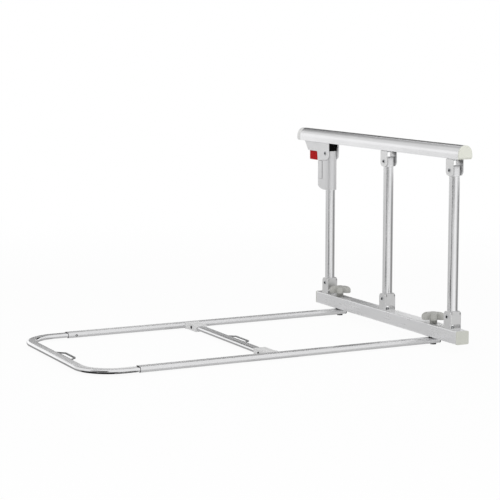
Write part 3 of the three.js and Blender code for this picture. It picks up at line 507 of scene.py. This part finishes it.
def bentTubeTree():
    # a flat-oval bar along a path whose corners are bent round
    nearlyHalf = 0.499  # of the height, so that the oval keeps its two flats
    sheet, given = nodeTree("bentTube", {
        "Width": "Float", "Height": "Float", "Bend radius": "Float", "Bend steps": "Int",
        "Side steps": "Int", "Finish": "Material",
    })
    path = sheet.node("GeometryNodeMeshToCurve", None, {"Mesh": given["Geometry"]})
    bends = sheet.node("GeometryNodeFilletCurve", {"mode": "POLY"}, {
        "Curve": path, "Radius": given["Bend radius"], "Count": given["Bend steps"],
    })
    plain = sheet.node("GeometryNodeCurvePrimitiveQuadrilateral", None, {
        "Width": given["Width"], "Height": given["Height"],
    })
    oval = sheet.node("GeometryNodeFilletCurve", {"mode": "POLY"}, {
        "Curve": plain, "Radius": given["Height"] * nearlyHalf, "Count": given["Side steps"],
    })
    upright = sheet.node("GeometryNodeSetCurveNormal", {"mode": "Z_UP"}, {"Curve": bends})
    skin = sheet.node("GeometryNodeCurveToMesh", None, {
        "Curve": upright, "Profile Curve": oval, "Fill Caps": True,
    })
    return closeTree(sheet, skin, given["Finish"])


def coilTree():
    # round wire wound in a spiral of even turns
    sheet, given = nodeTree("coil", {
        "Turns": "Float", "Turn steps": "Int", "Radius": "Float", "Height": "Float", "Wire radius": "Float",
        "Wire steps": "Int", "Place": "Vector", "Finish": "Material",
    })
    spiral = sheet.node("GeometryNodeCurveSpiral", None, {
        "Resolution": given["Turn steps"], "Rotations": given["Turns"], "Start Radius": given["Radius"],
        "End Radius": given["Radius"], "Height": given["Height"],
    })
    wire = sheet.node("GeometryNodeCurvePrimitiveCircle", None, {
        "Resolution": given["Wire steps"], "Radius": given["Wire radius"],
    })
    skin = sheet.node("GeometryNodeCurveToMesh", None, {
        "Curve": spiral, "Profile Curve": wire, "Fill Caps": True,
    })
    placed = sheet.node("GeometryNodeTransform", None, {"Geometry": skin, "Translation": given["Place"]})
    return closeTree(sheet, placed, given["Finish"])


row, starKnob, bentTube, coil = rowTree(), knobTree(), bentTubeTree(), coilTree()
print("node trees ready")

# Bottom rail, posts and handrail

railSize = {"width": 30, "height": 28, "corner": 2.5, "wall": 1.6, "steps": 8}
postSize = {"width": 22, "height": 22, "corner": 11, "wall": 1.2, "steps": 20}
handrailSize = {"width": 32, "height": 29, "side": 10, "wall": 1.5, "steps": 56}
ends = ("near", "mid", "far")
pair = ("near", "far")


def hollowBar(node, look, axis, outlines, centre, edge=0.25, isShaded=None):
    low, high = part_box(node)
    index = "XYZ".index(axis)
    shell = tube(*outlines, axis, centre, low[index], high[index])
    return piece("formed_" + node, shell, [node], edge, axis, look=look, isShaded=isShaded)


def ovalPair(size):
    # the outline of a bar and that of its bore
    corner, wall, steps = size["corner"], size["wall"], size["steps"]
    outer = roundOutline(size["width"], size["height"], corner, steps)
    inner = roundOutline(size["width"] - 2 * wall, size["height"] - 2 * wall, corner - wall, steps)
    return outer, inner


railMiddle = middleOf("bottom_rail")
hollowBar("bottom_rail", "anodised_rail", "Y", ovalPair(railSize), (railMiddle.x, railMiddle.z))
for end in ends:
    post = middleOf(end + "_post_tube")
    hollowBar(end + "_post_tube", "anodised_post", "Z", ovalPair(postSize), (post.x, post.y))
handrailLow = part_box("handrail")[0]
handrailPair = (dOutline(handrailSize, 0), dOutline(handrailSize, handrailSize["wall"]))
hollowBar("handrail", "anodised", "Y", handrailPair, (railMiddle.x, handrailLow.z))
print("rail, posts and handrail made")

# Frame tubes, cross bar and sliding U

tubeSize = {"width": 25, "height": 12, "corner": 6, "wall": 1.2, "steps": 10, "edge": 0.2, "mouth": 0.6}
innerSize = {"width": 22, "height": 9, "corner": 4.5, "wall": 1.2, "steps": 10}
bendSize = {"radius": 69, "steps": 28, "sideSteps": 8}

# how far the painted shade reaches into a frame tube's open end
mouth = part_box("side_tube_near")[0].x + tubeSize["mouth"] * mm


# picks the faces in a frame tube's mouth, which are painted dark as shade
def inShadedMouth(spot):
    return spot.x < mouth


for end in pair:
    node = "side_tube_" + end
    centre = middleOf(node)
    hollowBar(node, "anodised_frame", "X", ovalPair(tubeSize), (centre.y, centre.z),
              tubeSize["edge"], inShadedMouth)
crossMiddle = middleOf("crossbar")
hollowBar("crossbar", "anodised_bar", "Y", ovalPair(innerSize), (crossMiddle.x, crossMiddle.z))

uLow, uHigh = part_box("u_tube")
halfWide = innerSize["width"] / 2 * mm
corners = [(uHigh.x, uLow.y + halfWide), (uLow.x + halfWide, uLow.y + halfWide),
           (uLow.x + halfWide, uHigh.y - halfWide), (uHigh.x, uHigh.y - halfWide)]
path = bmesh.new()
marks = [path.verts.new((x, y, (uLow.z + uHigh.z) / 2)) for x, y in corners]
for first, second in zip(marks, marks[1:]):
    path.edges.new((first, second))
uShell = runTree(bentTube, path, {
    "Width": innerSize["width"] * mm, "Height": innerSize["height"] * mm,
    "Bend radius": bendSize["radius"] * mm, "Bend steps": bendSize["steps"],
    "Side steps": bendSize["sideSteps"], "Finish": finishOf("bright_aluminium"),
})
piece("sliding_u", uShell, ["u_tube"], 0)
print("frame tubes made")

# Knobs

knobSize = {
    "lobes": 6.0, "depth": 11.0, "wide": 2.2, "hub": 9.5, "rim": 27.0, "steps": 144,
    "bore": 4.2, "boreDepth": 15.7, "stem": 8.0, "lift": 8.5, "soft": 0.6,
    "rimHeight": 4.0, "hollow": 5.0, "hollowRadius": 18.5,
    "lip": ((5.0, 2.4), (2.6, 0.2), (1.6, 0), (0.6, 0.3), (0.1, 1.0)),  # in from the rim, up from under it
    "dome": 14, "domeSteps": 12, "dimple": 6.4, "dimpleEdge": 0.8, "dimpleDepth": 0.5,
}


def knobProfile(seat, top):
    # from the bore round the stem, through the hollow underside of the head, over its lip and up the dome
    bore, stem, soft, rim, dome = (knobSize[key] for key in ("bore", "stem", "soft", "rim", "dome"))
    head = seat + knobSize["lift"]
    roof = head + knobSize["hollow"]
    shoulder = head + knobSize["rimHeight"]
    blind = seat + knobSize["boreDepth"]
    floorOfDimple = top - knobSize["dimpleDepth"]
    points = [(0, blind), (bore, blind), (bore, seat), (stem - soft, seat), (stem, seat + soft)]
    points += [(stem, roof - soft), (stem + soft, roof), (knobSize["hollowRadius"], roof)]
    points += [(rim - inward, head + up) for inward, up in knobSize["lip"]]
    for step in range(knobSize["domeSteps"] + 1):
        angle = math.pi / 2 * step / knobSize["domeSteps"]
        points.append((rim - dome + dome * math.cos(angle), shoulder + (top - shoulder) * math.sin(angle)))
    points += [(knobSize["dimple"] + knobSize["dimpleEdge"], top), (knobSize["dimple"], floorOfDimple)]
    return points + [(0, floorOfDimple)]


for end in pair:
    node = "clamp_knob_" + end
    low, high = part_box(node)
    centre = middleOf(node)
    head = turned(knobProfile(low.z / mm, high.z / mm), knobSize["steps"])
    shell = runTree(starKnob, head, {
        "Lobes": knobSize["lobes"], "Depth": knobSize["depth"] * mm, "Hollow share": knobSize["wide"],
        "Hub radius": knobSize["hub"] * mm, "Rim radius": knobSize["rim"] * mm,
        "Place": (centre.x, centre.y, 0), "Finish": finishOf("knob_plastic"),
    })
    piece("star_knob_" + end, shell, [node], 0)

# Pins, screws and bolts, each turned once and set out in a row

alongX = (0, math.pi / 2, 0)
againstX = (0, -math.pi / 2, 0)
upright = (0, 0, 0)
turnedSize = {"steps": 32, "edge": 0.12}
# the last entry is the radius of the pins' hollow centres, which are painted dark as shade
pinSize = {
    "sheet": 26, "lock": 29, "shank": 3, "head": 4.8, "headDepth": 1.1, "round": 0.55, "flat": 4.2,
    "bore": 2.9, "boreMouth": 3.2, "boreDepth": 6, "soft": 0.3, "dark": 3,
}
domeSize = {"side": 0.45, "steps": 6, "mouth": 0.93, "socket": 0.4}  # heights as shares of the head's
bracketScrew = {"head": 4.4, "height": 3.2, "shank": 2.5, "length": 11, "recess": 1.6, "soft": 0.5}
connectorScrew = {"head": 3.4, "height": 1.6, "shank": 2, "length": 4.9, "recess": 1.3, "soft": 0.5}
clevisScrew = {
    "head": 4.4, "height": 2, "washer": 6.2, "washerHeight": 2.8, "shank": 2.5, "length": 13, "soft": 0.4,
}
boltSize = {"radius": 4, "soft": 0.6}


def centred(profile):
    heights = [height for _, height in profile]
    middle = (min(heights) + max(heights)) / 2
    return [(radius, height - middle) for radius, height in profile]


def pinProfile(distance):
    # a hollow pin whose two heads have their undersides this far apart
    face = distance / 2
    end = face + pinSize["headDepth"]
    head, bore, deep = pinSize["head"], pinSize["bore"], end - pinSize["boreDepth"]
    half = [(0, deep), (bore, deep), (bore, end - pinSize["soft"]), (pinSize["boreMouth"], end)]
    half += [(pinSize["flat"], end), (head, end - pinSize["round"]), (head, face), (pinSize["shank"], face)]
    return [(radius, -height) for radius, height in half] + half[::-1]


def screwProfile(size):
    # shank down, a domed head above its seat, with a socket in the top
    head, height, shank, recess, soft = (size[key] for key in ("head", "height", "shank", "recess", "soft"))
    points = [(0, -size["length"]), (shank - soft, -size["length"]), (shank, soft - size["length"])]
    points += [(shank, 0), (head, 0)]
    for step in range(domeSize["steps"] - 1):
        angle = math.pi / 2 * step / domeSize["steps"]
        up = domeSize["side"] + (1 - domeSize["side"]) * math.sin(angle)
        points.append((head * math.cos(angle), height * up))
    socket = height * domeSize["socket"]
    return centred(points + [(recess, height * domeSize["mouth"]), (recess, socket), (0, socket)])


def washerScrewProfile(size):
    # head down, with its washer above and the shank on top
    head, shank, washer, length = (size[key] for key in ("head", "shank", "washer", "length"))
    points = [(0, 0), (head - size["soft"], 0), (head, size["soft"]), (head, size["height"])]
    points += [(washer, size["height"]), (washer, size["washerHeight"]), (shank, size["washerHeight"])]
    return centred(points + [(shank, length), (0, length)])


def rowOf(name, nodes, profile, turn, hole=0):
    # the last argument is the radius within which the faces lie in a hollow and are painted dark as shade
    places = sorted((middleOf(node) for node in nodes), key=lambda place: place.y)
    step = (places[1] - places[0]) if len(places) > 1 else Vector((0, 0, 0))
    shell = runTree(row, turned(profile, turnedSize["steps"]), {
        "Count": len(nodes), "First": places[0], "Step": step, "Turn": turn,
        "Finish": finishOf(slotOf[nodes[0]]),
    })
    axis = Euler(turn).to_matrix() @ Vector((0, 0, 1))

    def inShadedHollow(spot):
        return min((spot - place).cross(axis).length for place in places) < hole * mm
    return piece(name, shell, nodes, turnedSize["edge"], isShaded=inShadedHollow if hole else None)


sheetPin, lockPin = pinProfile(pinSize["sheet"]), pinProfile(pinSize["lock"])
rowOf("lower_pivot_pins", ["lower_pin_" + end for end in ends], sheetPin, alongX, pinSize["dark"])
rowOf("upper_pivot_pins", ["upper_pin_near", "upper_pin_mid"], sheetPin, alongX, pinSize["dark"])
rowOf("lock_pivot_pin", ["upper_pin_far"], lockPin, alongX, pinSize["dark"])
rowOf("bracket_screws", ["bracket_screw_" + end for end in ends], screwProfile(bracketScrew), upright)
rowOf("clevis_screws", ["clevis_screw_near", "clevis_screw_mid"], washerScrewProfile(clevisScrew), upright)
for end in pair:
    node = "clamp_bolt_" + end
    low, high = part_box(node)
    length, radius = (high.z - low.z) / mm, boltSize["radius"]
    bolt = [(0, 0), (radius - boltSize["soft"], 0), (radius, boltSize["soft"]), (radius, length), (0, length)]
    rowOf("knob_bolt_" + end, [node], centred(bolt), upright)
rowOf("connector_screws", ["connector_screw_" + end for end in pair], screwProfile(connectorScrew), againstX)
print("turned pieces made")

# The button's spring; the real one gets shorter as the button goes up, but this coil keeps one length

spring = {"turns": 6, "turnSteps": 32, "radius": 3.2, "wire": 0.4, "wireSteps": 10, "travel": 5}
low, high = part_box("button_spring")
centre = (low + high) / 2
shell = runTree(coil, bmesh.new(), {
    "Turns": float(spring["turns"]), "Turn steps": spring["turnSteps"], "Radius": spring["radius"] * mm,
    "Height": high.z - low.z - 2 * spring["wire"] * mm, "Wire radius": spring["wire"] * mm,
    "Wire steps": spring["wireSteps"], "Place": (centre.x, centre.y, low.z + spring["wire"] * mm),
    "Finish": finishOf("bright_steel"),
})
buttonCoil = piece("button_coil", shell, ["button_spring"], 0)
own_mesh(buttonCoil)

# Bent sheet: brackets and clevises, with the folds rounded

foldSize = {"radius": 2.6, "segments": 5, "edge": 0.25}


def isNear(first, second):
    return abs(first - second) < roundingError


def bracketFold(low, high):
    # picks the two upright edges of the web
    def chosen(first, second):
        isUpright = isNear(first.x, second.x) and isNear(first.y, second.y)
        return isUpright and isNear(first.y, low.y) and (isNear(first.x, low.x) or isNear(first.x, high.x))
    return chosen


def clevisFold(low, high):
    # picks the two long edges of the top
    def chosen(first, second):
        isOnTop = isNear(first.z, high.z) and isNear(second.z, high.z) and isNear(first.x, second.x)
        return isOnTop and (isNear(first.x, low.x) or isNear(first.x, high.x))
    return chosen


def bentSheet(name, node, fold):
    shell = cadShell(node)
    roundAlong(shell, fold(*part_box(node)), foldSize["radius"], foldSize["segments"])
    piece(name, shell, [node], foldSize["edge"], "Z")


for end in ends:
    bentSheet("formed_bracket_" + end, "hinge_bracket_" + end, bracketFold)
for end in ("near", "mid"):
    bentSheet("formed_clevis_" + end, "top_clevis_" + end, clevisFold)
print("sheet pieces made")

# Moulded pieces, from the solids with their edges softened

softEdges = {
    "bottom_rail_cap_near": 0.6, "bottom_rail_cap_far": 0.6,
    "handrail_cap_near": 0.9, "handrail_cap_far": 0.9,
    "near_lower_plug": 0.5, "mid_lower_plug": 0.5, "far_lower_plug": 0.5,
    "near_upper_plug": 0.5, "mid_upper_plug": 0.5,
    "lock_sleeve": 0.5, "strike_block": 0.5, "post_top_bumper": 0.7, "lock_housing": 0.6, "red_button": 0.9,
    "side_tube_plug_near": 0.4, "side_tube_plug_far": 0.4,
    "crossbar_connector_near": 0.7, "crossbar_connector_far": 0.7,
    "crossbar_strap_loop": 0.7, "u_strap_loop": 0.7, "clamp_spacer_near": 0.3, "clamp_spacer_far": 0.3,
    "clamp_nut_near": 0.3, "clamp_nut_far": 0.3, "set_screw_near": 0.15, "set_screw_far": 0.15,
}
# the handrail's caps take the lighter copies of the cap plastic, as painted light
looks = {
    "strike_block": "sleeve_plastic",
    "crossbar_connector_near": "pale_plastic_frame", "crossbar_connector_far": "pale_plastic_frame",
    "crossbar_strap_loop": "bright_steel_loop", "u_strap_loop": "bright_steel_loop",
    "handrail_cap_near": "cap_plastic_top", "handrail_cap_far": "cap_plastic_far",
}
slotSize = {"inward": 2.3, "outward": 0.6, "below": 0.2, "above": 4}
strikeLow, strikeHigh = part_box("strike_block")


def inShadedSlot(spot):
    # between the strike block and the round part of its sleeve; the seam faces there are painted dark as
    # shade
    beside = -slotSize["inward"] * mm < spot.y - strikeLow.y < slotSize["outward"] * mm
    return beside and strikeLow.z - slotSize["below"] * mm < spot.z < strikeHigh.z + slotSize["above"] * mm


# the seam of the strike block and its sleeve is painted dark as shade
for node, edge in softEdges.items():
    isShadedSeam = inShadedSlot if node in ("strike_block", "lock_sleeve") else None
    piece("finished_" + node, cadShell(node), [node], edge, segments=3, look=looks.get(node), isShaded=isShadedSeam)
print("moulded pieces made")

# Studio

view = {
    "place": (-1.5012, -3.1262, 0.6632), "turn": 26.585, "tilt": 7.673,
    "lens": 117.9, "sensor": 36, "reach": 100,
}
camera = bpy.data.objects.new("camera", bpy.data.cameras.new("camera"))
camera.location = view["place"]
camera.rotation_euler = (math.radians(90 - view["tilt"]), 0, -math.radians(view["turn"]))
camera.data.lens = view["lens"]
camera.data.sensor_width = view["sensor"]
camera.data.clip_end = view["reach"]
scene.collection.objects.link(camera)
scene.camera = camera


def seenRays(sheet):
    # 1 for what the camera, a reflection or glass sees, and 0 for what lights the object
    node = sheet.tree.nodes.new("ShaderNodeLightPath")
    labels = ("Is Camera Ray", "Is Glossy Ray", "Is Transmission Ray")
    seen = [Wire(sheet, node.outputs[label]) for label in labels]
    return sheet.node("ShaderNodeMath", {"operation": "MINIMUM"}, {0: seen[0] + seen[1] + seen[2], 1: 1.0})


studio = {
    "ambient": 0.58, "floorWhite": 0.86, "floorSeen": 0.94, "fadeFrom": 0.9, "fadeTo": 2.4, "floorHalf": 30,
    "aim": (0, 0, 0.15),
}
white = (1, 1, 1, 1)
world = bpy.data.worlds.new("studio")
world.use_nodes = True
scene.world = world
sheet = NodeSheet(world.node_tree)
around = sheet.node("ShaderNodeBackground", None, {"Color": white, "Strength": studio["ambient"]})
behind = sheet.node("ShaderNodeBackground", None, {"Color": white, "Strength": 1.0})
mixed = sheet.node("ShaderNodeMixShader", None, {0: seenRays(sheet), 1: around, 2: behind})
sheet.node("ShaderNodeOutputWorld", None, {"Surface": mixed})

floorMaterial = bpy.data.materials.new("floor")
floorMaterial.use_nodes = True
floorMaterial.cycles.emission_sampling = "NONE"  # its glow is only seen, it lights nothing
sheet = NodeSheet(floorMaterial.node_tree)
matt = sheet.node("ShaderNodeBsdfDiffuse", None, {"Color": (*evenly(studio["floorWhite"]), 1)})
glow = sheet.node("ShaderNodeEmission", None, {"Color": white, "Strength": 1.0})
spot = sheet.node("ShaderNodeTexCoord", out=3)
away = sheet.node("ShaderNodeVectorMath", {"operation": "LENGTH"}, {0: spot}, out=1)
fade = sheet.node("ShaderNodeMapRange", {"interpolation_type": "SMOOTHSTEP"}, {
    "Value": away, "From Min": studio["fadeFrom"], "From Max": studio["fadeTo"],
    "To Min": studio["floorSeen"], "To Max": 1.0,
})
mixed = sheet.node("ShaderNodeMixShader", None, {0: seenRays(sheet) * fade, 1: matt, 2: glow})
sheet.node("ShaderNodeOutputMaterial", None, {"Surface": mixed})
shell = bmesh.new()
bmesh.ops.create_grid(shell, x_segments=1, y_segments=1, size=studio["floorHalf"])
floorMesh = bpy.data.meshes.new("floor")
shell.to_mesh(floorMesh)
shell.free()
floorMesh.materials.append(floorMaterial)
floor = bpy.data.objects.new("floor", floorMesh)
scene.collection.objects.link(floor)
floor.visible_glossy = False  # metal shows the panels and the white round them instead

# Panels that only reflections show, in a ring round the object: from and to an angle in degrees from the
# X axis, from and to a height, and how bright; a later one covers the earlier ones
panels = {
    "leftGrey": (72, 113, -0.9, 0.13, 0.7),
    "railMiddle": (113, 117, -0.9, 0.13, 0.62),
    "railNearer": (117, 120, -0.9, 0.13, 0.54),
    "railNear": (120, 126, -0.9, 0.13, 0.44),
    "farLeft": (126, 197, -0.9, 0.13, 0.7),
    "darkLine": (197, 210, -0.9, 0.13, 0.05),
    "frontLeft": (214, 236, -0.9, 0.13, 0.7),
    "front": (236, 252, -0.9, 0.13, 0.92),
    "frontRight": (252, 288, -0.9, 0.13, 1.06),
    "right": (288, 299, -0.9, 0.2, 1.15),
    "rightSide": (299, 306, -0.9, 0.13, 0.74),
    "rightGrey": (306, 324, -0.9, 0.13, 0.6),
    "rightDark": (324, 352, -0.9, 0.13, 0.22),
    "backRight": (352, 427, -0.9, 0.12, 0.5),
    "railTop": (30, 52, 0.3, 0.78, 1.4),
    "backLow": (52, 80, 0.3, 0.78, 0.88),
    "handrailLine": (52, 57.5, 0.3, 0.78, 0.08),
    "silhouette": (40, 80, 0.12, 0.3, 0.3),
    "barShade": (58, 66.3, 0.45, 0.645, 0.2),
    "farTubeShade": (75.5, 82, 0.38, 0.57, 0.1),
    "backHigh": (40, 80, 0.78, 1.9, 0.04),
    "handrailHigh": (52, 69, 1.9, 2.35, 0.04),
    "upperSide": (80, 97, 1.1, 1.5, 0.85),
    "topGrey": (76, 97, 1.5, 2.8, 0.4),
    "upperGlow": (97, 130, 1.1, 2.4, 0.9),
    "shelf": (84, 130, 0.35, 1.1, 1.25),
    "handrailSide": (80, 130, 0.13, 0.35, 1.25),
    "nearBendLow": (190, 236, 0.2, 0.9, 0.35),
    "nearBend": (190, 236, 0.9, 3.5, 0.04),
    "sleeveShade": (215, 262, 0.02, 0.2, 0.3),
    "finGlow": (108, 124, -0.02, 0.075, 1.05),
}
ringSize = {"radius": 3.0, "closer": 0.01, "steps": 24}


def panelMaterial(level):
    material = bpy.data.materials.new("panel")
    material.use_nodes = True
    material.cycles.emission_sampling = "NONE"
    sheet = NodeSheet(material.node_tree)
    shine = sheet.node("ShaderNodeEmission", None, {"Color": white, "Strength": level})
    sheet.node("ShaderNodeOutputMaterial", None, {"Surface": shine})
    return material


def onlyInReflections(name, shell, level):
    mesh = bpy.data.meshes.new(name)
    shell.to_mesh(mesh)
    shell.free()
    mesh.materials.append(panelMaterial(level))
    made = bpy.data.objects.new(name, mesh)
    scene.collection.objects.link(made)
    made.visible_camera = made.visible_diffuse = made.visible_shadow = False
    made.visible_transmission = made.visible_volume_scatter = False


for order, (name, (start, end, low, high, level)) in enumerate(panels.items()):
    distance = ringSize["radius"] - ringSize["closer"] * order
    shell = bmesh.new()
    rows = []
    for step in range(ringSize["steps"] + 1):
        angle = math.radians(start + (end - start) * step / ringSize["steps"])
        across, along = distance * math.cos(angle), distance * math.sin(angle)
        rows.append([shell.verts.new((across, along, height)) for height in (low, high)])
    for first, second in zip(rows, rows[1:]):
        shell.faces.new((first[0], second[0], second[1], first[1]))
    onlyInReflections(name, shell, level)

# The same just under the floor, below the tubes: two opposite corners in metres and how bright
groundSize = {"height": -0.004, "margin": 0.05}
ground = {
    "underEndBar": ((uLow.x - 0.05, uLow.y + 0.06), (uLow.x + 0.08, uHigh.y + 0.05), 0.34),
    "underNearBend": ((uLow.x - 0.35, uLow.y - 0.35), (uLow.x + 0.11, uLow.y + 0.06), 0.03),
}
for node, level in (("side_tube_near", 0.6), ("side_tube_far", 0.6), ("crossbar", 0.45)):
    low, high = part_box(node)
    margin = groundSize["margin"]
    ground["under_" + node] = ((low.x - margin, low.y - margin), (high.x + margin, high.y + margin), level)
for name, (low, high, level) in ground.items():
    shell = bmesh.new()
    spots = ((low[0], low[1]), (high[0], low[1]), (high[0], high[1]), (low[0], high[1]))
    shell.faces.new([shell.verts.new((x, y, groundSize["height"])) for x, y in spots])
    onlyInReflections(name, shell, level)

lamps = {
    "key": {"place": (-1.9, -2.3, 2.3), "size": 1.4, "power": 44},
    "fill": {"place": (1.6, -2.8, 1.6), "size": 2.0, "power": 12},
    "back": {"place": (0.6, 2.6, 2.6), "size": 1.6, "power": 14},
}
for name, lamp in lamps.items():
    light = bpy.data.lights.new(name, "AREA")
    light.energy = lamp["power"]
    light.size = lamp["size"]
    holder = bpy.data.objects.new(name, light)
    holder.location = lamp["place"]
    aim = Vector(studio["aim"]) - Vector(lamp["place"])
    holder.rotation_euler = aim.to_track_quat("-Z", "Y").to_euler()
    holder.visible_glossy = False  # the panels stand for the lamps in reflections
    scene.collection.objects.link(holder)
print("studio ready")
